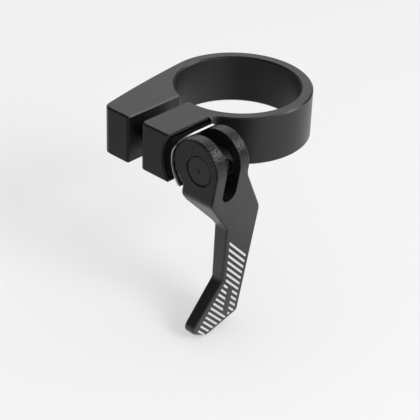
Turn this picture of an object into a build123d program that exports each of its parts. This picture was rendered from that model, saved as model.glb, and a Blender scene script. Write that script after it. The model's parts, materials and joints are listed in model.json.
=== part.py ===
"""Quick-release seatpost clamp: a split collar drawn shut by a cam lever.

Millimetres. The origin is on the bore axis at the collar's mid height, +Z up
along the bore, +X from the bore towards the ends of the ears, +Y from the
ear that holds the bolt's head to the ear that carries the lever.
"""
import os
from math import asin, cos, degrees, radians, sin, sqrt, tan

from build123d import *

# Collar
bore_diameter = 34.9
collar_wall = 3.4
collar_height = 14.0
edge_break = 0.45

# Ears and the slot between them
ear_end = 35.5
far_ear_longer = 0.5
slot_width = 4.0
slot_middle = -3.95
far_side_slope = 6.0
far_end_side = -15.5
far_corner_round = 3.0
near_side = 9.3
near_blend = 3.0
slot_mouth_round = 1.6
slot_root_round = 0.6

# Bolt
bolt_along_ear = 28.0
bolt_diameter = 5.0
bolt_past_pivot = 3.2
bolt_point_break = 0.5
bolt_head_diameter = 8.5
bolt_head_height = 5.0
bolt_head_break = 0.4
bolt_seat = -10.6
socket_across_flats = 4.0
socket_depth = 2.6
bolt_clearance = 0.08
head_clearance = 0.3
thread_clearance = 0.05

# Lever pivot
pivot_side = 18.2
barrel_diameter = 8.3
barrel_clearance = 0.06
barrel_length = 12.0
barrel_end_break = 0.25
centre_mark_diameter = 1.4
centre_mark_point = 0.1
centre_mark_depth = 0.35

# Cam seat: pocket in the ear, saddle in the pocket, strip on the saddle
pocket_radius = 11.75
pocket_start = 20.4
pocket_rim_break = 0.45
pocket_edge_break = 0.6
cam_clearance = 0.07
strip_thickness = 0.5
strip_top = 7.4
strip_bottom = 6.8
strip_far_gap = 2.5
strip_end_gap = 0.85
strip_corner_round = 5.0
saddle_end_gap = 0.6
saddle_corner_round = 0.8
saddle_hole_clearance = 0.35

# Lever fork
fork_width = 12.4
fork_slot = 5.2
fork_slot_end = 8.3
lobe_radius = 7.75
eccentricity = 1.3
past_centre = 12.0
lever_tilt = 9.5
fork_depth = 11.0
shoulder_round = 1.5
lever_edge_round = 0.6
hole_edge_break = 0.15

# Lever blade, seen on its outer face: across is +X, down runs to the tip
shoulder_below_lobe = 5.4
near_shoulder_below_lobe = 1.3
blade_down = 17.4
blade_root_thickness = 4.75
blade_tip_thickness = 3.37
waist_top_across = 25.8
waist_top_down = 18.9
waist_across = 23.4
waist_down = 38.3
tip_across = 32.75
tip_down = 53.0
tip_end_across = 25.7
tip_end_down = 57.4
far_across = 13.5
far_tip_down = 53.9
far_corner_down = 16.0
far_neck_down = 1.6
tip_round = 2.5
tip_end_round = 3.0
far_tip_round = 1.5
far_corner_blend = 5.0
neck_blend = 6.0
waist_blend = 2.0
near_shoulder_round = 3.5

# Values worked out from the sizes above
bore_radius = bore_diameter / 2
collar_radius = bore_radius + collar_wall
half_height = collar_height / 2
cam_reach = lobe_radius + eccentricity
strip_inner_radius = cam_reach + cam_clearance
strip_outer_radius = strip_inner_radius + strip_thickness
saddle_half_angle = degrees(asin((half_height - pocket_edge_break) / pocket_radius))
lobe_out = -eccentricity * cos(radians(past_centre))
lobe_down = -eccentricity * sin(radians(past_centre))
face_out = lobe_radius + lobe_out
fork_inner = face_out - fork_depth
lobe_foot_down = lobe_down + sqrt(lobe_radius ** 2 - (fork_inner - lobe_out) ** 2)
shoulder_down = lobe_foot_down + shoulder_below_lobe
near_shoulder_down = lobe_foot_down + near_shoulder_below_lobe
fork_near = bolt_along_ear + fork_width / 2
fork_far = bolt_along_ear - fork_width / 2
past_part = collar_radius + ear_end
draw_way = (0, cos(radians(lever_tilt)), sin(radians(lever_tilt)))


def along_x(radius, start, end, side=pivot_side):
    """A cylinder along X, its axis at mid height and at the given side."""
    middle = Pos((start + end) / 2, side, 0)
    return middle * Rot(0, 90, 0) * Cylinder(radius, end - start)


def along_y(radius, start, end):
    """A cylinder along the bolt's axis."""
    middle = Pos(bolt_along_ear, (start + end) / 2, 0)
    return middle * Rot(90, 0, 0) * Cylinder(radius, end - start)


def rounded(region, point, radius):
    """The region with its corner nearest the point rounded."""
    corner = region.vertices().sort_by_distance(Vector(*point, 0))[0]
    return fillet(corner, radius)


def collar_region():
    """The collar seen along its bore: ring, ears, slot and rounded corners."""
    slope = radians(far_side_slope)
    touch = (collar_radius * sin(slope), -collar_radius * cos(slope))
    far_ear_end = ear_end + far_ear_longer
    far_end = (far_ear_end, far_end_side)
    near_end = (ear_end, near_side)
    far_side = TangentArc(touch, far_end, tangent=(cos(slope), sin(slope)))
    step = [(far_ear_end, slot_middle), (ear_end, slot_middle)]
    rest = Polyline(far_end, *step, near_end, (0, near_side), touch)
    ears = make_face([far_side.edge(), *rest.edges()])
    slot = Pos(ear_end, slot_middle) * Rectangle(2 * ear_end, slot_width)
    region = Circle(collar_radius) + ears - Circle(bore_radius) - slot
    far_slot = slot_middle - slot_width / 2
    near_slot = slot_middle + slot_width / 2
    blend_along = sqrt(collar_radius ** 2 - near_side ** 2)
    corners = [
        (far_end, far_corner_round),
        ((far_ear_end, far_slot), slot_mouth_round / 2),
        ((ear_end, near_slot), slot_mouth_round),
        ((sqrt(bore_radius ** 2 - far_slot ** 2), far_slot), slot_root_round),
        ((sqrt(bore_radius ** 2 - near_slot ** 2), near_slot), slot_root_round),
        ((blend_along, near_side), near_blend),
    ]
    for point, radius in corners:
        region = rounded(region, point, radius)
    return region


def collar():
    """Split ring with two ears, bored for the bolt and pocketed for the cam saddle."""
    body = extrude(collar_region(), half_height, both=True)
    flats = body.faces().filter_by(Axis.Z)
    body = chamfer(flats.edges(), edge_break)
    body -= along_x(pocket_radius, pocket_start, past_part)
    along_pocket = body.edges().filter_by(Axis.X).filter_by(lambda e: e.center().Y > near_side - 1)
    body = chamfer(along_pocket, pocket_edge_break)
    rim = Cone(pocket_radius, pocket_radius + pocket_rim_break, pocket_rim_break)
    body -= Pos(ear_end - pocket_rim_break / 2, pivot_side, 0) * Rot(0, 90, 0) * rim
    body -= along_y(bolt_diameter / 2 + bolt_clearance, -past_part, past_part)
    body -= along_y(bolt_head_diameter / 2 + head_clearance, -past_part, bolt_seat)
    return body


def arc_band(inner, outer, half_angle):
    """A band about the pivot on the collar's side, seen along X as across and up."""
    wedge_reach = 2 * outer
    spread = wedge_reach * tan(radians(half_angle))
    wedge = Polygon((0, 0), (-wedge_reach, spread), (-wedge_reach, -spread), align=None)
    return (Circle(outer) - Circle(inner)) & wedge


def seen_along_x(region, start, end):
    """The region set on the pivot's axis and stretched along X."""
    plane = Plane((start, pivot_side, 0), x_dir=(0, 1, 0), z_dir=(1, 0, 0))
    return extrude(plane * region, end - start)


def cam_saddle():
    """Curved pad in the ear's pocket, its ends cut towards the pivot and rounded."""
    band = arc_band(strip_outer_radius, pocket_radius, saddle_half_angle)
    band = fillet(band.vertices(), saddle_corner_round)
    body = seen_along_x(band, pocket_start, ear_end - saddle_end_gap)
    body -= along_y(bolt_diameter / 2 + saddle_hole_clearance, -past_part, past_part)
    return body


def wear_strip():
    """Bent sheet between the saddle and the cam, its upper near corner cut round."""
    start = pocket_start + strip_far_gap
    end = ear_end - strip_end_gap
    body = seen_along_x(Circle(strip_outer_radius) - Circle(strip_inner_radius), start, end)
    corners = [(start, -strip_bottom), (end, -strip_bottom), (end, strip_top), (start, strip_top)]
    sheet = rounded(Polygon(*corners, align=None), (end, strip_top), strip_corner_round)
    seen_from_lever = Plane((0, pivot_side, 0), x_dir=(1, 0, 0), z_dir=(0, -1, 0))
    body &= extrude(seen_from_lever * sheet, 2 * strip_outer_radius)
    body -= along_y(bolt_diameter / 2 + saddle_hole_clearance, -past_part, past_part)
    return body


def clamp_bolt():
    """Socket-head bolt from the far ear through to the barrel nut."""
    tip = pivot_side + bolt_past_pivot
    shank = along_y(bolt_diameter / 2, bolt_seat, tip)
    shank = chamfer(shank.faces().sort_by(Axis.Y)[-1].edges(), bolt_point_break)
    head_end = bolt_seat - bolt_head_height
    head = along_y(bolt_head_diameter / 2, head_end, bolt_seat)
    head = chamfer(head.faces().sort_by(Axis.Y)[0].edges(), bolt_head_break)
    socket_plane = Plane((bolt_along_ear, head_end, 0), x_dir=(1, 0, 0), z_dir=(0, 1, 0))
    hexagon = RegularPolygon(socket_across_flats / 2, 6, major_radius=False)
    return shank + head - extrude(socket_plane * hexagon, socket_depth)


def barrel_nut():
    """Cross pin that the lever turns on, tapped through for the bolt."""
    start = bolt_along_ear - barrel_length / 2
    end = bolt_along_ear + barrel_length / 2
    body = along_x(barrel_diameter / 2, start, end)
    ends = body.faces().filter_by(GeomType.PLANE)
    body = chamfer(ends.edges(), barrel_end_break)
    body -= along_y(bolt_diameter / 2 + thread_clearance, -past_part, past_part)
    mark = Cone(centre_mark_point / 2, centre_mark_diameter / 2, centre_mark_depth)
    for mark_middle, turn in (
        (start + centre_mark_depth / 2, -90),
        (end - centre_mark_depth / 2, 90),
    ):
        body -= Pos(mark_middle, pivot_side, 0) * Rot(0, turn, 0) * mark
    return body


def lever_outline():
    """The lever seen on its outer face: across along X, and up from the pivot."""
    top = 2 * lobe_radius
    corners = [
        ((fork_far, top), 0),
        ((fork_far, -far_neck_down), neck_blend),
        ((far_across, -far_corner_down), far_corner_blend),
        ((far_across, -far_tip_down), far_tip_round),
        ((tip_end_across, -tip_end_down), tip_end_round),
        ((tip_across, -tip_down), tip_round),
        ((waist_across, -waist_down), waist_blend),
        ((waist_top_across, -waist_top_down), waist_blend),
        ((fork_near, -near_shoulder_down), near_shoulder_round),
        ((fork_near, top), 0),
    ]
    region = Polygon(*[point for point, _ in corners], align=None)
    for point, radius in corners:
        if radius:
            region = rounded(region, point, radius)
    return region


def lever_side():
    """The lever seen along X: out from the pivot, and up."""
    reach = 2 * tip_end_down
    taper = (blade_root_thickness - blade_tip_thickness) / (tip_end_down - blade_down)
    end_thickness = blade_root_thickness - taper * (reach - blade_down)
    body = Polygon(
        (fork_inner, 0),
        (fork_inner, -shoulder_down),
        (face_out - blade_root_thickness, -blade_down),
        (face_out - end_thickness, -reach),
        (face_out, -reach),
        (face_out, -lobe_down),
        align=None,
    )
    body = rounded(body, (fork_inner, -shoulder_down), shoulder_round)
    body = rounded(body, (face_out - blade_root_thickness, -blade_down), waist_blend)
    lobe = Pos(lobe_out, -lobe_down) * Circle(lobe_radius)
    return body + lobe


def lever_blank():
    """Fork, cam lobes and blade in one piece, with the pivot at the origin."""
    outer_face = Plane((0, face_out, 0), x_dir=(1, 0, 0), z_dir=(0, -1, 0))
    outline = extrude(outer_face * lever_outline(), 3 * lobe_radius, dir=draw_way, both=True)
    side_plane = Plane((0, 0, 0), x_dir=(0, 1, 0), z_dir=(1, 0, 0))
    profile = extrude(side_plane * lever_side(), 2 * ear_end)
    return outline & profile


def hole_break():
    """The small cone that breaks the near edge of the pivot hole."""
    radius = barrel_diameter / 2 + barrel_clearance
    return Cone(radius, radius + hole_edge_break, hole_edge_break)


def lever():
    """One-piece forged lever on its pivot, closed against the collar."""
    blank = lever_blank()
    side_edges = Axis((0, 0, 0), draw_way)
    rims = blank.edges().filter_by(Axis.X, reverse=True).filter_by(side_edges, reverse=True)
    body = fillet(rims, lever_edge_round)
    top = 2 * lobe_radius
    slot = SlotOverall(top + fork_slot_end + fork_slot, fork_slot, rotation=90)
    middle = (top + fork_slot - fork_slot_end) / 2
    slot_plane = Plane((bolt_along_ear, 0, middle), x_dir=(1, 0, 0), z_dir=(0, -1, 0))
    body -= extrude(slot_plane * slot, 3 * lobe_radius, both=True)
    drilled = 3 * fork_width
    hole = Cylinder(barrel_diameter / 2 + barrel_clearance, drilled)
    hole = Pos(0, 0, (fork_width - drilled) / 2) * hole
    hole = hole + Pos(0, 0, (fork_width - hole_edge_break) / 2) * hole_break()
    body -= Pos(bolt_along_ear, 0, 0) * Rot(0, 90, 0) * hole
    return Pos(0, pivot_side, 0) * Rot(-lever_tilt, 0, 0) * body


os.makedirs("parts", exist_ok=True)
pieces = {
    "collar": collar(),
    "cam_saddle": cam_saddle(),
    "wear_strip": wear_strip(),
    "clamp_bolt": clamp_bolt(),
    "barrel_nut": barrel_nut(),
    "lever": lever(),
}
for name, piece in pieces.items():
    export_step(piece, f"parts/{name}.step")
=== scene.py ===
"""Dresses the quick-release seatpost clamp and sets it in a plain pale studio.

Sizes are millimetres unless a name ends in _m, and every mesh is in metres in
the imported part's own frame: +Z up along the bore, +X from the bore to the ends
of the ears, +Y from the bolt's head to the lever.
"""

import json
import logging
from abc import ABC, abstractmethod
from dataclasses import dataclass
from enum import Enum
from math import ceil, cos, pi, radians, sin, sqrt

import bmesh
import bpy
from bmesh.types import BMEdge, BMesh, BMVert
from bpy.types import Material, Node, NodeSocket, NodeTree, Object
from mathutils import Matrix, Vector


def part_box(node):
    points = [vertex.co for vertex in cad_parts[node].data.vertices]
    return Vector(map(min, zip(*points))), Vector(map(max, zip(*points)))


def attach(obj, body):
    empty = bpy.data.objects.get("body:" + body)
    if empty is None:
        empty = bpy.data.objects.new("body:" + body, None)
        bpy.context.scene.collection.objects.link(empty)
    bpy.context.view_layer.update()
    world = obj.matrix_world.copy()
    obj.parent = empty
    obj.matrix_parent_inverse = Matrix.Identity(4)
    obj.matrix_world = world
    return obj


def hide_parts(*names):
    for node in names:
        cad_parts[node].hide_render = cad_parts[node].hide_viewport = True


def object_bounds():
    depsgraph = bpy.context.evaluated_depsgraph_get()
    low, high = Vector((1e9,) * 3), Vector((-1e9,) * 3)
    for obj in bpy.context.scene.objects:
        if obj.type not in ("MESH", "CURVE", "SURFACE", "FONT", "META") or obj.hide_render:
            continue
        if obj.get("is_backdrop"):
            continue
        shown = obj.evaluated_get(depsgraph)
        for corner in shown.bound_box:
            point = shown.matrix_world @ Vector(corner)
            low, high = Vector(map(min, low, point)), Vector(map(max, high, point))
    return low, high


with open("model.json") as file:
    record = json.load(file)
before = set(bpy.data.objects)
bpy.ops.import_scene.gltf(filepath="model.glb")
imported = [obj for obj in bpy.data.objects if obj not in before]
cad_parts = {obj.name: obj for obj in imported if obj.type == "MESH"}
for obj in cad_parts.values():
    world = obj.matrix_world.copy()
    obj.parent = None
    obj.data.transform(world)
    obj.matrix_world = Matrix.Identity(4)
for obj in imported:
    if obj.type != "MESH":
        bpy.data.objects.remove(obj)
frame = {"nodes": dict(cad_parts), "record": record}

MM = 0.001
IMAGE_SIDE_PX = 420

# The sockets of Blender's Mix node share their names, so they go by number.
MIX_SHARE = 0
MIX_VALUE_A = 2
MIX_VALUE_B = 3
MIX_COLOUR_A = 6
MIX_COLOUR_B = 7
MIX_COLOUR_RESULT = 2

# Blender's wave texture draws this many rings in one unit at a scale of 1.
RINGS_PER_UNIT = 20 / (2 * pi)

log = logging.getLogger("seat_clamp")


class Axis(Enum):
    """The part's axes by their place in a vector."""

    X = 0
    Y = 1
    Z = 2

    def across(self, centre_m: Vector) -> dict[str, list[float]]:
        """Works out how to measure a place straight out from a line along this axis.

        Args:
            centre_m: a point of the line.

        Returns:
            The settings of a Mapping node that does it.
        """
        flat = [float(number != self.value) for number in range(len(Axis))]
        return {"Location": [-value * scale for value, scale in zip(centre_m, flat)], "Scale": flat}


def joint_place(name: str) -> Vector:
    """A joint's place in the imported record, in metres."""
    joints = frame["record"]["behaviour"]["joints"]
    return Vector(next(joint["pos_m"] for joint in joints if joint["name"] == name))


def bore_radius() -> float:
    """The bore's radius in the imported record."""
    return frame["record"]["mounts"][0]["dims"]["r_mm"]


def direction(azimuth: float, elevation: float) -> Vector:
    """The unit vector from the part to a place at these angles, in radians."""
    return Vector((cos(elevation) * cos(azimuth), cos(elevation) * sin(azimuth), sin(elevation)))


def linear(hex_colour: str) -> tuple[float, float, float, float]:
    """Turns an sRGB colour into the linear values that shaders take.

    Args:
        hex_colour: six hex digits, two for each of red, green and blue.

    Returns:
        Linear red, green, blue and an alpha of 1.
    """
    channels = [int(hex_colour[i:i + 2], 16) / 255 for i in (0, 2, 4)]
    values = [c / 12.92 if c <= 0.04045 else ((c + 0.055) / 1.055) ** 2.4 for c in channels]
    return (*values, 1.0)


def per_metre(size: float) -> float:
    """The texture scale that gives a pattern of this size on metre coordinates."""
    return 1 / (size * MM)


def add_node(tree: NodeTree, kind: str, settings: dict | None = None, links: dict | None = None) -> Node:
    """Adds a shader node, sets it up and links its inputs.

    Args:
        tree: the node tree that gets the node.
        kind: the node's Blender type name.
        settings: values for the node's own properties, by name, or its inputs, by name or number.
        links: output sockets of other nodes, by the input's name or number.

    Returns:
        The new node.
    """
    node = tree.nodes.new(kind)
    for name, value in (settings or {}).items():
        if isinstance(name, str) and hasattr(node, name):
            setattr(node, name, value)
        else:
            node.inputs[name].default_value = value
    for name, socket in (links or {}).items():
        tree.links.new(socket, node.inputs[name])
    return node


def new_material(name: str) -> tuple[Material, NodeTree]:
    """Makes a material with an empty node tree.

    Args:
        name: the finish in plain words.

    Returns:
        The material and its node tree.
    """
    material = bpy.data.materials.new(name)
    material.use_nodes = True
    material.node_tree.nodes.clear()
    return material, material.node_tree


def near_line(tree: NodeTree, place: NodeSocket, axis: Axis, centre_m: Vector, radius: float,
              fade: float) -> NodeSocket:
    """Adds the test for what lies near a line along one of the part's axes.

    Args:
        tree: the material's node tree.
        place: the part's own coordinates.
        axis: the line's direction.
        centre_m: a point of the line.
        radius: how far from the line the test is still 1.
        fade: how much further out it falls to 0.

    Returns:
        The test's socket.
    """
    across = add_node(tree, "ShaderNodeMapping", axis.across(centre_m), {"Vector": place})
    distance = add_node(tree, "ShaderNodeVectorMath", {"operation": "LENGTH"}, {0: across.outputs[0]})
    test = add_node(tree, "ShaderNodeMapRange",
                    {"From Min": radius * MM, "From Max": (radius + fade) * MM,
                     "To Min": 1.0, "To Max": 0.0},
                    {"Value": distance.outputs["Value"]})
    return test.outputs[0]


# Finishes

@dataclass(frozen=True)
class Finish(ABC):
    """A finish of the part, made as one material on the part's own coordinates."""

    name: str

    @abstractmethod
    def shade(self, tree: NodeTree, place: NodeSocket) -> Node:
        """Adds the finish's own nodes.

        Args:
            tree: the material's node tree.
            place: the part's own coordinates.

        Returns:
            The shader node.
        """

    def build(self) -> Material:
        """Makes the material.

        Returns:
            The new material.
        """
        material, tree = new_material(self.name)
        place = add_node(tree, "ShaderNodeTexCoord").outputs["Object"]
        shader = self.shade(tree, place)
        add_node(tree, "ShaderNodeOutputMaterial", {}, {"Surface": shader.outputs[0]})
        return material


@dataclass(frozen=True)
class BlastedAnodised(Finish):
    """Aluminium, bead-blasted and black anodised.

    Blasting leaves a fine even grain that spreads the light into a satin sheen,
    and the dyed oxide over it is black with a soft grey gloss at low angles.
    The grain is drawn coarser than the real one, so that it shows. One region of
    the surface has a texture of another depth.
    """

    region_depth_mm: float
    colour: str = "110E11"
    pale_colour: str = "181418"
    roughness: float = 0.34
    roughness_spread: float = 0.04
    grain_mm: float = 0.28
    grain_depth_mm: float = 0.03
    cloud_mm: float = 9.0

    @abstractmethod
    def region(self, tree: NodeTree, place: NodeSocket) -> NodeSocket:
        """Adds the test for the region, and returns its socket."""

    def height(self, tree: NodeTree, place: NodeSocket, region: NodeSocket) -> NodeSocket:
        """Adds the height of the blasted grain.

        Args:
            tree: the material's node tree.
            place: the part's own coordinates.
            region: the test for the region, for a finish with another pattern there.

        Returns:
            The height's socket.
        """
        # Finer layers of noise would blur the specks, so the grain has none.
        grain = add_node(tree, "ShaderNodeTexNoise",
                         {"Scale": per_metre(self.grain_mm), "Detail": 0.0}, {"Vector": place})
        return grain.outputs["Fac"]

    def sheen(self, tree: NodeTree, cloud: NodeSocket, region: NodeSocket) -> NodeSocket:
        """Adds the roughness, which differs a little from patch to patch.

        Args:
            tree: the material's node tree.
            cloud: the soft patches.
            region: the test for the region, for a finish with another roughness there.

        Returns:
            The roughness's socket.
        """
        rough = add_node(tree, "ShaderNodeMapRange",
                         {"To Min": self.roughness - self.roughness_spread,
                          "To Max": self.roughness + self.roughness_spread},
                         {"Value": cloud})
        return rough.outputs[0]

    def shade(self, tree: NodeTree, place: NodeSocket) -> Node:
        """Adds the black with its soft patches, and the texture.

        Args:
            tree: the material's node tree.
            place: the part's own coordinates.

        Returns:
            The shader node.
        """
        region = self.region(tree, place)
        cloud = add_node(tree, "ShaderNodeTexNoise",
                         {"Scale": per_metre(self.cloud_mm), "Detail": 3.0}, {"Vector": place})
        colour = add_node(tree, "ShaderNodeMix",
                          {"data_type": "RGBA", MIX_COLOUR_A: linear(self.colour),
                           MIX_COLOUR_B: linear(self.pale_colour)},
                          {MIX_SHARE: cloud.outputs["Fac"]})
        depth = add_node(tree, "ShaderNodeMapRange",
                         {"To Min": self.grain_depth_mm * MM, "To Max": self.region_depth_mm * MM},
                         {"Value": region})
        bump = add_node(tree, "ShaderNodeBump", {"Strength": 1.0},
                        {"Height": self.height(tree, place, region), "Distance": depth.outputs[0]})
        return add_node(tree, "ShaderNodeBsdfPrincipled", {},
                        {"Base Color": colour.outputs[MIX_COLOUR_RESULT],
                         "Roughness": self.sheen(tree, cloud.outputs["Fac"], region),
                         "Normal": bump.outputs["Normal"]})


@dataclass(frozen=True)
class TurnedAndBlasted(BlastedAnodised):
    """The collar's aluminium: bore turned, outside bead-blasted, all of it black anodised.

    The lathe leaves fine rings in the bore, which spread what it mirrors up and
    down, so the bore is darker and more even than the blasted outside. The rings
    are drawn coarser than the real ones.
    """

    region_depth_mm: float = 0.08
    ring_mm: float = 0.2
    bore_roughness: float = 0.45
    bore_margin_mm: float = 0.1
    bore_fade_mm: float = 0.1

    def region(self, tree: NodeTree, place: NodeSocket) -> NodeSocket:
        """Adds the test for the bore's wall, and returns its socket."""
        reach = bore_radius() + self.bore_margin_mm
        return near_line(tree, place, Axis.Z, Vector(), reach, self.bore_fade_mm)

    def height(self, tree: NodeTree, place: NodeSocket, region: NodeSocket) -> NodeSocket:
        """Adds the blasted grain outside and the turned rings in the bore.

        Args:
            tree: the material's node tree.
            place: the part's own coordinates.
            region: the test for the bore's wall.

        Returns:
            The height's socket.
        """
        along_bore = add_node(tree, "ShaderNodeMapping", {"Scale": (0, 0, per_metre(self.ring_mm))},
                              {"Vector": place})
        rings = add_node(tree, "ShaderNodeTexNoise", {"Scale": 1.0, "Detail": 2.0},
                         {"Vector": along_bore.outputs[0]})
        both = add_node(tree, "ShaderNodeMix", {"data_type": "FLOAT"},
                        {MIX_SHARE: region, MIX_VALUE_A: super().height(tree, place, region),
                         MIX_VALUE_B: rings.outputs["Fac"]})
        return both.outputs[0]

    def sheen(self, tree: NodeTree, cloud: NodeSocket, region: NodeSocket) -> NodeSocket:
        """Adds the roughness, with the bore's own.

        Args:
            tree: the material's node tree.
            cloud: the soft patches.
            region: the test for the bore's wall.

        Returns:
            The roughness's socket.
        """
        both = add_node(tree, "ShaderNodeMix", {"data_type": "FLOAT", MIX_VALUE_B: self.bore_roughness},
                        {MIX_SHARE: region, MIX_VALUE_A: super().sheen(tree, cloud, region)})
        return both.outputs[0]


@dataclass(frozen=True)
class BlastedLever(BlastedAnodised):
    """The lever's aluminium: forged, blasted coarser on the cam than on the blade, black anodised.

    The cam's rims sparkle in specks, and the blade has an even satin sheen.
    """

    region_depth_mm: float = 0.12
    grain_mm: float = 0.44
    grain_depth_mm: float = 0.05
    cam_radius_mm: float = 9.2
    cam_fade_mm: float = 5.0

    def region(self, tree: NodeTree, place: NodeSocket) -> NodeSocket:
        """Adds the test for the cam, and returns its socket."""
        pivot_m = joint_place("lever_pivot")
        return near_line(tree, place, Axis.X, pivot_m, self.cam_radius_mm, self.cam_fade_mm)


@dataclass(frozen=True)
class MouldedNylon(Finish):
    """Black nylon, injection moulded.

    The mould's fine spark-eroded texture makes it a deep matt black. The texture
    is drawn coarser than the real one.
    """

    name: str = "moulded_black_nylon"
    colour: str = "060606"
    roughness: float = 0.7
    specular: float = 0.1
    texture_mm: float = 0.2
    texture_depth_mm: float = 0.01

    def shade(self, tree: NodeTree, place: NodeSocket) -> Node:
        """Adds the matt black and the mould's texture.

        Args:
            tree: the material's node tree.
            place: the part's own coordinates.

        Returns:
            The shader node.
        """
        texture = add_node(tree, "ShaderNodeTexNoise",
                           {"Scale": per_metre(self.texture_mm), "Detail": 2.0}, {"Vector": place})
        bump = add_node(tree, "ShaderNodeBump", {"Distance": self.texture_depth_mm * MM},
                        {"Height": texture.outputs["Fac"]})
        return add_node(tree, "ShaderNodeBsdfPrincipled",
                        {"Base Color": linear(self.colour), "Roughness": self.roughness,
                         "Specular IOR Level": self.specular},
                        {"Normal": bump.outputs["Normal"]})


@dataclass(frozen=True)
class RolledSteel(Finish):
    """Stainless sheet, cold rolled and bent.

    Rolling leaves it bright, with fine lines along the roll that draw the
    highlight out. The lines are drawn coarser than the real ones.
    """

    name: str = "rolled_stainless"
    colour: str = "F2F0EA"
    roughness: float = 0.34
    roughness_spread: float = 0.102
    line_mm: float = 0.3
    line_length_mm: float = 1.2
    line_depth_mm: float = 0.05

    def shade(self, tree: NodeTree, place: NodeSocket) -> Node:
        """Adds the bright metal and the rolled lines.

        Args:
            tree: the material's node tree.
            place: the part's own coordinates.

        Returns:
            The shader node.
        """
        stretch = (per_metre(self.line_length_mm), per_metre(self.line_mm), per_metre(self.line_mm))
        along_roll = add_node(tree, "ShaderNodeMapping", {"Scale": stretch}, {"Vector": place})
        lines = add_node(tree, "ShaderNodeTexNoise", {"Scale": 1.0, "Detail": 2.0},
                         {"Vector": along_roll.outputs[0]})
        bump = add_node(tree, "ShaderNodeBump", {"Distance": self.line_depth_mm * MM},
                        {"Height": lines.outputs["Fac"]})
        rough = add_node(tree, "ShaderNodeMapRange",
                         {"To Min": self.roughness - self.roughness_spread,
                          "To Max": self.roughness + self.roughness_spread},
                         {"Value": lines.outputs["Fac"]})
        return add_node(tree, "ShaderNodeBsdfPrincipled",
                        {"Base Color": linear(self.colour), "Metallic": 1.0},
                        {"Roughness": rough.outputs[0], "Normal": bump.outputs["Normal"]})


@dataclass(frozen=True)
class BlackOxideSteel(Finish):
    """Steel, turned and blackened in a hot oxide bath.

    The bath leaves an oily black skin, and the lathe's rings show faintly through
    it, drawn coarser than the real ones.
    """

    axis: Axis
    joint: str
    colour: str = "555456"
    roughness: float = 0.5
    roughness_spread: float = 0.06
    ring_mm: float = 1.0
    ring_waver: float = 0.3
    texture_depth_mm: float = 0.004
    grain_mm: float = 0.2
    grain_share: float = 0.6

    def shade(self, tree: NodeTree, place: NodeSocket) -> Node:
        """Adds the dark metal, and the rings and grain of its skin.

        Args:
            tree: the material's node tree.
            place: the part's own coordinates.

        Returns:
            The shader node.
        """
        radial = add_node(tree, "ShaderNodeMapping", self.axis.across(joint_place(self.joint)),
                          {"Vector": place})
        rings = add_node(tree, "ShaderNodeTexWave",
                         {"wave_type": "RINGS", "rings_direction": "SPHERICAL",
                          "Scale": per_metre(self.ring_mm) / RINGS_PER_UNIT,
                          "Distortion": self.ring_waver},
                         {"Vector": radial.outputs[0]})
        grain = add_node(tree, "ShaderNodeTexNoise",
                         {"Scale": per_metre(self.grain_mm), "Detail": 3.0}, {"Vector": place})
        both = add_node(tree, "ShaderNodeMix", {"data_type": "FLOAT", MIX_SHARE: self.grain_share},
                        {MIX_VALUE_A: rings.outputs["Fac"], MIX_VALUE_B: grain.outputs["Fac"]})
        bump = add_node(tree, "ShaderNodeBump", {"Distance": self.texture_depth_mm * MM},
                        {"Height": both.outputs[0]})
        rough = add_node(tree, "ShaderNodeMapRange",
                         {"To Min": self.roughness - self.roughness_spread,
                          "To Max": self.roughness + self.roughness_spread},
                         {"Value": grain.outputs["Fac"]})
        return add_node(tree, "ShaderNodeBsdfPrincipled",
                        {"Base Color": linear(self.colour), "Metallic": 1.0},
                        {"Roughness": rough.outputs[0], "Normal": bump.outputs["Normal"]})


@dataclass(frozen=True)
class PadPrint(Finish):
    """White ink, pad printed over the blasted grain.

    The film is thin, so the grain shows through it as faint grey specks.
    """

    name: str = "white_pad_print"
    colour: str = "DFDFDD"
    thin_colour: str = "BCBCBB"
    roughness: float = 0.55
    grain_mm: float = 0.28

    def shade(self, tree: NodeTree, place: NodeSocket) -> Node:
        """Adds the white ink with its thin specks.

        Args:
            tree: the material's node tree.
            place: the part's own coordinates.

        Returns:
            The shader node.
        """
        grain = add_node(tree, "ShaderNodeTexNoise",
                         {"Scale": per_metre(self.grain_mm), "Detail": 3.0}, {"Vector": place})
        colour = add_node(tree, "ShaderNodeMix",
                          {"data_type": "RGBA", MIX_COLOUR_A: linear(self.colour),
                           MIX_COLOUR_B: linear(self.thin_colour)},
                          {MIX_SHARE: grain.outputs["Fac"]})
        return add_node(tree, "ShaderNodeBsdfPrincipled", {"Roughness": self.roughness},
                        {"Base Color": colour.outputs[MIX_COLOUR_RESULT]})


# Pieces

def dress(node: str, finish: Finish) -> None:
    """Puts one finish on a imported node.

    Args:
        node: the node's name.
        finish: what it is made of.
    """
    slots = frame["nodes"][node].data.materials
    slots.clear()
    slots.append(finish.build())
    log.info("dressed %s in %s", node, finish.name)


def join(bm: BMesh, other: BMesh) -> None:
    """Adds what one bmesh holds to another.

    Args:
        bm: the bmesh that gets it.
        other: the bmesh that it comes from, freed here.
    """
    spare = bpy.data.meshes.new("spare")
    other.to_mesh(spare)
    other.free()
    bm.from_mesh(spare)
    bpy.data.meshes.remove(spare)


def new_piece(name: str, bm: BMesh, material: Material) -> Object:
    """Makes an object of a finished bmesh.

    Args:
        name: the piece's name.
        bm: its mesh in metres, freed here.
        material: its finish.

    Returns:
        The new object, linked to the scene.
    """
    mesh = bpy.data.meshes.new(name)
    bm.to_mesh(mesh)
    bm.free()
    mesh.materials.append(material)
    piece = bpy.data.objects.new(name, mesh)
    bpy.context.scene.collection.objects.link(piece)
    log.info("built %s with %d faces", name, len(mesh.polygons))
    return piece


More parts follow.
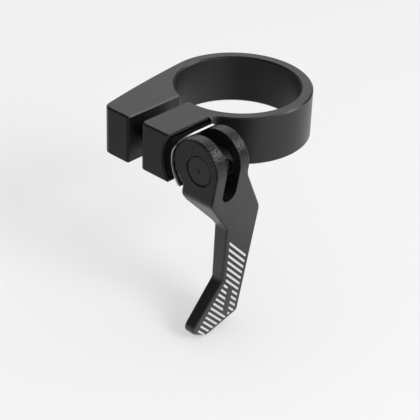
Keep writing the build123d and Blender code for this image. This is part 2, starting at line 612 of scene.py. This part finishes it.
@dataclass(frozen=True)
class CollarGroup:
    """The split collar with the pad and the sheet that the cam bears on."""

    finish: Finish = TurnedAndBlasted("blasted_black_collar")
    saddle_finish: Finish = MouldedNylon()
    strip_finish: Finish = RolledSteel()

    def build(self) -> None:
        """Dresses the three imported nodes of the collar."""
        dress("collar", self.finish)
        dress("cam_saddle", self.saddle_finish)
        dress("wear_strip", self.strip_finish)


@dataclass(frozen=True)
class ClampBolt:
    """The socket-head bolt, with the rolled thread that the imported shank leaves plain.

    Places along the bolt are given along the part's +Y.
    """

    shank_radius: float = 2.5
    head_radius: float = 4.25
    head_height: float = 5.0
    head_break: float = 0.4

    # The drilled point in the socket's floor ends in a spot of this share of the socket.
    socket_sides: int = 6
    socket_flats: float = 4.0
    socket_depth: float = 2.6
    socket_point: float = 0.7
    socket_point_scale: float = 0.02

    # The thread reaches a little into the plain shank, and narrows to this share at the tip.
    thread_start: float = -0.6
    thread_depth: float = 0.49
    pitch: float = 0.8
    overlap: float = 0.3
    tip_scale: float = 0.86

    # How fine the mesh is, how close two points are when they are made one, and how many
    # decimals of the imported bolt's place count, so that the head doesn't sink into its seat.
    segments: int = 48
    thread_steps: int = 32
    weld: float = 0.0008
    decimals: int = 4

    finish: Finish = BlackOxideSteel("black_oxide_bolt", Axis.Y, "bolt_turn")

    def stretch(self, bm: BMesh, loop: list[BMEdge], out: float, along: float) -> list[BMEdge]:
        """Draws a loop of edges on to a new radius and place along the bolt.

        Args:
            bm: the bolt's mesh, with the bolt along +Z.
            loop: the edges to draw out.
            out: how many times as wide the new loop is.
            along: the new loop's place along the bolt.

        Returns:
            The new loop's edges.
        """
        made = bmesh.ops.extrude_edge_only(bm, edges=loop)["geom"]
        verts = [item for item in made if isinstance(item, BMVert)]
        bmesh.ops.scale(bm, vec=(out, out, 1.0), verts=verts)
        for vert in verts:
            vert.co.z = along
        return [item for item in made if isinstance(item, BMEdge)]

    def add_head(self, bm: BMesh, end: float) -> None:
        """Makes the head with its hexagon socket, and the plain shank.

        Args:
            bm: the mesh to add to, in millimetres, with the bolt along +Z.
            end: the place of the head's outer face along the bolt.
        """
        seat = end + self.head_height
        rim = self.head_radius - self.head_break
        at_end = Matrix.Translation((0, 0, end))
        circle = bmesh.ops.create_circle(bm, segments=self.segments, radius=rim, matrix=at_end)
        outer = list({edge for vert in circle["verts"] for edge in vert.link_edges})
        corner = self.socket_flats / 2 / cos(pi / self.socket_sides)
        hexagon = bmesh.ops.create_circle(bm, segments=self.socket_sides, radius=corner, matrix=at_end)
        sides = list({edge for vert in hexagon["verts"] for edge in vert.link_edges})
        bmesh.ops.subdivide_edges(bm, edges=sides, cuts=self.segments // self.socket_sides - 1)
        inner = [edge for edge in bm.edges if edge not in set(outer)]
        bmesh.ops.bridge_loops(bm, edges=outer + inner)
        floor = end + self.socket_depth
        wall = self.stretch(bm, inner, 1.0, floor)
        point = self.stretch(bm, wall, self.socket_point_scale, floor + self.socket_point)
        bmesh.ops.holes_fill(bm, edges=point, sides=0)
        loop = self.stretch(bm, outer, self.head_radius / rim, end + self.head_break)
        loop = self.stretch(bm, loop, 1.0, seat)
        loop = self.stretch(bm, loop, self.shank_radius / self.head_radius, seat)
        loop = self.stretch(bm, loop, 1.0, self.thread_start)
        bmesh.ops.holes_fill(bm, edges=loop, sides=0)

    def thread(self, tip: float) -> BMesh:
        """Makes the threaded end of the shank, with a metric thread's flats and flanks.

        Args:
            tip: the place of the bolt's free end along the bolt.

        Returns:
            A new mesh in millimetres, with the bolt along +Z.
        """
        bm = bmesh.new()
        root = self.shank_radius - self.thread_depth
        root_flat = self.pitch / 4
        crest_flat = self.pitch / 8
        flank = (self.pitch - root_flat - crest_flat) / 2
        marks = [0, root_flat, root_flat + flank, self.pitch - flank, self.pitch]
        radii = [root, root, self.shank_radius, self.shank_radius, root]
        bottom = self.thread_start - self.overlap
        low = bottom - self.pitch
        verts = [bm.verts.new((radius, 0, low + mark)) for radius, mark in zip(radii, marks)]
        edges = [bm.edges.new(pair) for pair in zip(verts, verts[1:])]
        turns = ceil((tip - low) / self.pitch) + 1
        bmesh.ops.spin(bm, geom=verts + edges, axis=(0, 0, 1), cent=(0, 0, 0),
                       dvec=(0, 0, self.pitch / self.thread_steps), angle=turns * 2 * pi,
                       steps=turns * self.thread_steps, use_merge=False, use_duplicate=False)
        bmesh.ops.remove_doubles(bm, verts=bm.verts[:], dist=self.weld)
        for along, way in ((bottom, -1), (tip, 1)):
            everything = bm.verts[:] + bm.edges[:] + bm.faces[:]
            bmesh.ops.bisect_plane(bm, geom=everything, plane_co=(0, 0, along),
                                   plane_no=(0, 0, way), clear_outer=True)
        rims = [edge for edge in bm.edges if edge.is_boundary]
        middle = (bottom + tip) / 2
        tip_verts = list({vert for edge in rims for vert in edge.verts if vert.co.z > middle})
        bmesh.ops.scale(bm, vec=(self.tip_scale, self.tip_scale, 1.0), verts=tip_verts)
        bmesh.ops.holes_fill(bm, edges=rims, sides=0)
        return bm

    def build(self) -> None:
        """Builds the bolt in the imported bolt's place."""
        end, tip = (round(corner.y / MM, self.decimals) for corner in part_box("clamp_bolt"))
        bm = bmesh.new()
        self.add_head(bm, end)
        join(bm, self.thread(tip))
        bmesh.ops.recalc_face_normals(bm, faces=bm.faces[:])
        axis = joint_place("bolt_turn")
        turn = Matrix.Rotation(-pi / 2, 4, "X")
        place = Matrix.Translation((axis.x, 0, axis.z)) @ turn @ Matrix.Scale(MM, 4)
        bmesh.ops.transform(bm, matrix=place, verts=bm.verts[:])
        piece = new_piece("threaded_bolt", bm, self.finish.build())
        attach(piece, "bolt")
        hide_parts("clamp_bolt")


@dataclass(frozen=True)
class BarrelNut:
    """The cross pin that the lever turns on."""

    finish: Finish = BlackOxideSteel("black_oxide_barrel", Axis.X, "lever_pivot")

    def build(self) -> None:
        """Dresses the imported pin."""
        dress("barrel_nut", self.finish)


@dataclass(frozen=True)
class Lever:
    """The cam lever, with the slanted stripes printed on its blade.

    Places on the blade's outer face are given across, along the part's +X, and
    down the blade from the pivot. The near side is the +X side.
    """

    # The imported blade's slope, and its outer face's distance from the pivot.
    tilt_deg: float = 9.5
    face_out: float = 6.478

    stripe_count: int = 18
    first_stripe: float = 48.1
    stripe_step: float = 2.05
    stripe_width: float = 0.6

    # Where the printed field ends: its far side, the bends of its near side, and its bottom.
    # A stripe is made longer than the field is wide and trimmed to it.
    far_end: float = 15.15
    near_top: tuple[float, float] = (23.55, 24.57)
    near_waist: tuple[float, float] = (21.65, 39.2)
    near_tip: tuple[float, float] = (29.6, 53.4)
    bottom_far: tuple[float, float] = (13.5, 52.7)
    bottom_near: tuple[float, float] = (34.4, 58.6)
    trim: float = 2.0

    # The bare gap, by its first and last stripe and its sides.
    gap_first: int = 7
    gap_last: int = 11
    gap_far: float = 17.8
    gap_near: float = 20.3

    # The ink over the blade's face, and what it reaches under it so that no gap shows.
    film: float = 0.012
    film_under: float = 0.01

    finish: Finish = BlastedLever("blasted_black_lever")
    print_finish: Finish = PadPrint()

    def cut(self, bm: BMesh, start: tuple[float, float], end: tuple[float, float]) -> None:
        """Cuts away what lies to the left of a line, with X to the right and Y up.

        Args:
            bm: flat mesh, across along X and down along Y.
            start: a point of the line.
            end: a further point of the line.
        """
        along = Vector((end[0] - start[0], end[1] - start[1], 0))
        left = Vector((-along.y, along.x, 0))
        everything = bm.verts[:] + bm.edges[:] + bm.faces[:]
        bmesh.ops.bisect_plane(bm, geom=everything, plane_co=(*start, 0), plane_no=left,
                               clear_outer=True)

    def stripe(self, number: int, near: float, far: float) -> BMesh:
        """Makes one flat stripe between two limits across the blade.

        A stripe runs at 45 degrees: across and down add up to the same total all along it.

        Args:
            number: the stripe's place from the top, from 0.
            near: the limit on the near side.
            far: the limit on the far side.

        Returns:
            A flat mesh, across along X and down along Y.
        """
        bm = bmesh.new()
        total = self.first_stripe + number * self.stripe_step
        half = self.stripe_width / sqrt(2)
        corners = [(near, total - near - half), (near, total - near + half),
                   (far, total - far + half), (far, total - far - half)]
        bm.faces.new([bm.verts.new((*corner, 0)) for corner in corners])
        above_waist = total < sum(self.near_waist)
        if above_waist:
            self.cut(bm, self.near_waist, self.near_top)
        else:
            self.cut(bm, self.near_tip, self.near_waist)
        self.cut(bm, self.bottom_far, self.bottom_near)
        return bm

    def stripe_spans(self, number: int) -> list[tuple[float, float]]:
        """Finds where a stripe's pieces lie, before its near side is trimmed.

        Args:
            number: the stripe's place from the top, from 0.

        Returns:
            The near and far limit of each piece.
        """
        widest = max(self.near_top[0], self.near_tip[0]) + self.trim
        if self.gap_first <= number <= self.gap_last:
            return [(widest, self.gap_near), (self.gap_far, self.far_end)]
        return [(widest, self.far_end)]

    def face_place(self) -> Matrix:
        """Works out where the flat print goes.

        Returns:
            The change from millimetres across, down and out to the blade's place in metres.
        """
        pivot = joint_place("lever_pivot")
        tilt = radians(self.tilt_deg)
        across = Vector((1, 0, 0))
        down = Vector((0, -sin(tilt), -cos(tilt)))
        out = Vector((0, cos(tilt), -sin(tilt)))
        start = Vector((0, pivot.y, pivot.z)) + out * (self.face_out - self.film_under) * MM
        place = Matrix.Identity(4)
        for column, way in enumerate((across * MM, down * MM, out * MM, start)):
            place.col[column].xyz = way
        return place

    def build_stripes(self) -> None:
        """Builds all the printed stripes as one thin film on the blade."""
        bm = bmesh.new()
        for number in range(self.stripe_count):
            for near, far in self.stripe_spans(number):
                join(bm, self.stripe(number, near, far))
        made = bmesh.ops.extrude_face_region(bm, geom=bm.faces[:])["geom"]
        top = [item for item in made if isinstance(item, BMVert)]
        bmesh.ops.translate(bm, vec=(0, 0, self.film + self.film_under), verts=top)
        bmesh.ops.transform(bm, matrix=self.face_place(), verts=bm.verts[:])
        bmesh.ops.recalc_face_normals(bm, faces=bm.faces[:])
        piece = new_piece("blade_stripes", bm, self.print_finish.build())
        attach(piece, "lever")

    def build(self) -> None:
        """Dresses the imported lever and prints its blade."""
        dress("lever", self.finish)
        self.build_stripes()


# Picture

@dataclass(frozen=True)
class PhotoView:
    """The camera, set where the photograph was taken from."""

    azimuth_deg: float = 42.4
    elevation_deg: float = 31.09
    roll_deg: float = 2.19
    distance: float = 385.3
    clip_start: float = 19.0
    focal_px: float = 1400.0
    ring_centre_px: tuple[float, float] = (237.8, 83.66)
    sensor_mm: float = 36.0

    def build(self) -> None:
        """Adds the camera and makes it the scene's own."""
        azimuth, elevation, roll = map(radians, (self.azimuth_deg, self.elevation_deg, self.roll_deg))
        back = direction(azimuth, elevation)
        level = Vector((-sin(azimuth), cos(azimuth), 0))
        upright = back.cross(level)
        right = level * cos(roll) + upright * sin(roll)
        above = upright * cos(roll) - level * sin(roll)
        ring_centre = Vector((0, 0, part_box("collar")[1].z))
        reach = self.distance * MM
        middle = IMAGE_SIDE_PX / 2
        aside = (self.ring_centre_px[0] - middle) / self.focal_px * reach
        below = (self.ring_centre_px[1] - middle) / self.focal_px * reach
        eye = ring_centre + back * reach - right * aside + above * below
        data = bpy.data.cameras.new("camera")
        data.sensor_width = self.sensor_mm
        data.lens = self.sensor_mm * self.focal_px / IMAGE_SIDE_PX
        data.clip_start = self.clip_start * MM
        camera = bpy.data.objects.new("camera", data)
        pose = Matrix.Identity(4)
        for column, way in enumerate((right, above, back, eye)):
            pose.col[column].xyz = way
        camera.matrix_world = pose
        bpy.context.scene.collection.objects.link(camera)
        bpy.context.scene.camera = camera


@dataclass(frozen=True)
class Softbox:
    """One soft lamp, aimed at the part. One that is only mirrored lights no matt surface."""

    name: str
    azimuth_deg: float
    elevation_deg: float
    distance_m: float
    size_m: tuple[float, float]
    radiance: float
    only_mirrored: bool = False

    def build(self) -> None:
        """Adds the lamp."""
        way = direction(radians(self.azimuth_deg), radians(self.elevation_deg))
        data = bpy.data.lights.new(self.name, "AREA")
        data.shape = "RECTANGLE"
        data.size, data.size_y = self.size_m
        data.energy = self.radiance * pi * self.size_m[0] * self.size_m[1]
        lamp = bpy.data.objects.new(self.name, data)
        lamp.location = way * self.distance_m
        lamp.rotation_euler = way.to_track_quat("Z", "Y").to_euler()
        lamp.visible_diffuse = not self.only_mirrored
        bpy.context.scene.collection.objects.link(lamp)


@dataclass(frozen=True)
class MirrorCard:
    """A grey card just over the floor that only glossy surfaces see."""

    name: str
    low_corner: tuple[float, float]
    high_corner: tuple[float, float]
    colour: str
    above_floor: float = 0.5

    def build(self, floor_z_m: float) -> None:
        """Lays the card and hides it from the camera, with its shadow.

        Args:
            floor_z_m: the floor's height.
        """
        height = floor_z_m + self.above_floor * MM
        (x0, y0), (x1, y1) = self.low_corner, self.high_corner
        bm = bmesh.new()
        corners = [(x0, y0), (x1, y0), (x1, y1), (x0, y1)]
        bm.faces.new([bm.verts.new((x * MM, y * MM, height)) for x, y in corners])
        material, tree = new_material("grey_card")
        shader = add_node(tree, "ShaderNodeBsdfDiffuse", {"Color": linear(self.colour)})
        add_node(tree, "ShaderNodeOutputMaterial", {}, {"Surface": shader.outputs[0]})
        card = new_piece(self.name, bm, material)
        card.visible_camera = False
        card.visible_diffuse = False
        card.visible_shadow = False
        card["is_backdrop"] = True


@dataclass(frozen=True)
class Studio:
    """Pale floor, pale backdrop in a dim room, soft lamps and cards for the part to mirror.

    The backdrop fades into the room between two heights, given as sines of the
    elevation. The glow is the share of the floor that shows its own pale light.
    """

    floor_colour: str = "F5F5F5"
    floor_side_m: float = 6.0
    floor_glow: float = 0.4
    backdrop_colour: str = "F3F3F3"
    backdrop_fade: tuple[float, float] = (0.0, 0.12)
    room: float = 0.1
    fill_colour: str = "FFFFFF"
    fill: float = 0.78
    lamps: tuple[Softbox, ...] = (
        Softbox("back_softbox", azimuth_deg=222, elevation_deg=33, distance_m=1.0, size_m=(1.4, 0.7),
                radiance=1.15, only_mirrored=True),
        Softbox("side_softbox", azimuth_deg=142, elevation_deg=36, distance_m=0.9, size_m=(0.35, 0.35),
                radiance=6.2, only_mirrored=True),
        Softbox("key_softbox", azimuth_deg=86, elevation_deg=34, distance_m=0.9, size_m=(0.36, 0.36),
                radiance=9.4),
    )
    cards: tuple[MirrorCard, ...] = (
        MirrorCard("left_card", (55.0, -900.0), (900.0, 10.0), "A8A8A8"),
        MirrorCard("front_card", (55.0, 10.0), (900.0, 900.0), "505050"),
        # The blade card is painted shade: its dimmer grey stands in for the floor's shade close to the
        # part, and only reflections show it.
        MirrorCard("blade_shade_card", (-14.0, 22.0), (30.0, 50.0), "D4D4D4"),
    )

    def seen(self, tree: NodeTree) -> tuple[Node, NodeSocket]:
        """Adds the test for rays that show a surface: straight from the camera or through glass.

        Args:
            tree: the node tree that gets the test.

        Returns:
            The light path node, and the test's socket.
        """
        path = add_node(tree, "ShaderNodeLightPath")
        test = add_node(tree, "ShaderNodeMath", {"operation": "MAXIMUM"},
                        {0: path.outputs["Is Camera Ray"], 1: path.outputs["Is Transmission Ray"]})
        return path, test.outputs[0]

    def build_floor(self) -> float:
        """Lays the floor under the part's lowest point.

        Returns:
            The floor's height in metres.
        """
        low_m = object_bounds()[0].z
        bm = bmesh.new()
        bmesh.ops.create_grid(bm, x_segments=1, y_segments=1, size=self.floor_side_m / 2,
                              matrix=Matrix.Translation((0, 0, low_m)))
        material, tree = new_material("pale_paper")
        path, seen = self.seen(tree)
        shown = add_node(tree, "ShaderNodeMath", {"operation": "MAXIMUM"},
                         {0: seen, 1: path.outputs["Is Glossy Ray"]})
        share = add_node(tree, "ShaderNodeMath", {"operation": "MULTIPLY", 1: self.floor_glow},
                         {0: shown.outputs[0]})
        paper = add_node(tree, "ShaderNodeBsdfDiffuse", {"Color": linear(self.floor_colour)})
        glow = add_node(tree, "ShaderNodeEmission",
                        {"Color": linear(self.backdrop_colour), "Strength": 1.0})
        mix = add_node(tree, "ShaderNodeMixShader", {},
                       {0: share.outputs[0], 1: paper.outputs[0], 2: glow.outputs[0]})
        add_node(tree, "ShaderNodeOutputMaterial", {}, {"Surface": mix.outputs[0]})
        new_piece("floor", bm, material)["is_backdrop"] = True
        return low_m

    def build_world(self) -> None:
        """Makes the surroundings: a pale low backdrop, a dim room above it and a soft fill."""
        world = bpy.data.worlds.new("studio")
        world.use_nodes = True
        tree = world.node_tree
        tree.nodes.clear()
        path, seen = self.seen(tree)
        way = add_node(tree, "ShaderNodeTexCoord")
        height = add_node(tree, "ShaderNodeSeparateXYZ", {}, {0: way.outputs["Generated"]})
        low = add_node(tree, "ShaderNodeMapRange",
                       {"From Min": self.backdrop_fade[0], "From Max": self.backdrop_fade[1],
                        "To Min": 1.0, "To Max": 0.0},
                       {"Value": height.outputs["Z"]})
        shown = add_node(tree, "ShaderNodeMath", {"operation": "MAXIMUM"},
                         {0: seen, 1: low.outputs[0]})
        pale = add_node(tree, "ShaderNodeBackground",
                        {"Color": linear(self.backdrop_colour), "Strength": 1.0})
        room = add_node(tree, "ShaderNodeBackground", {"Strength": self.room})
        room_mix = add_node(tree, "ShaderNodeMixShader", {},
                            {0: shown.outputs[0], 1: room.outputs[0], 2: pale.outputs[0]})
        fill = add_node(tree, "ShaderNodeBackground",
                        {"Color": linear(self.fill_colour), "Strength": self.fill})
        mix = add_node(tree, "ShaderNodeMixShader", {},
                       {0: path.outputs["Is Diffuse Ray"], 1: room_mix.outputs[0], 2: fill.outputs[0]})
        add_node(tree, "ShaderNodeOutputWorld", {}, {"Surface": mix.outputs[0]})
        bpy.context.scene.world = world

    def build(self) -> None:
        """Sets up floor, surroundings, lamps, cards and the plain view transform."""
        floor_z_m = self.build_floor()
        self.build_world()
        for lamp in self.lamps:
            lamp.build()
        for card in self.cards:
            card.build(floor_z_m)
        bpy.context.scene.view_settings.view_transform = "Standard"


def main() -> None:
    """Builds and dresses every piece, then the picture."""
    logging.basicConfig(level=logging.INFO, format="%(name)s: %(message)s")
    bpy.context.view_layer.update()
    for part in (CollarGroup(), ClampBolt(), BarrelNut(), Lever(), PhotoView(), Studio()):
        part.build()


if __name__ == "__main__":
    main()
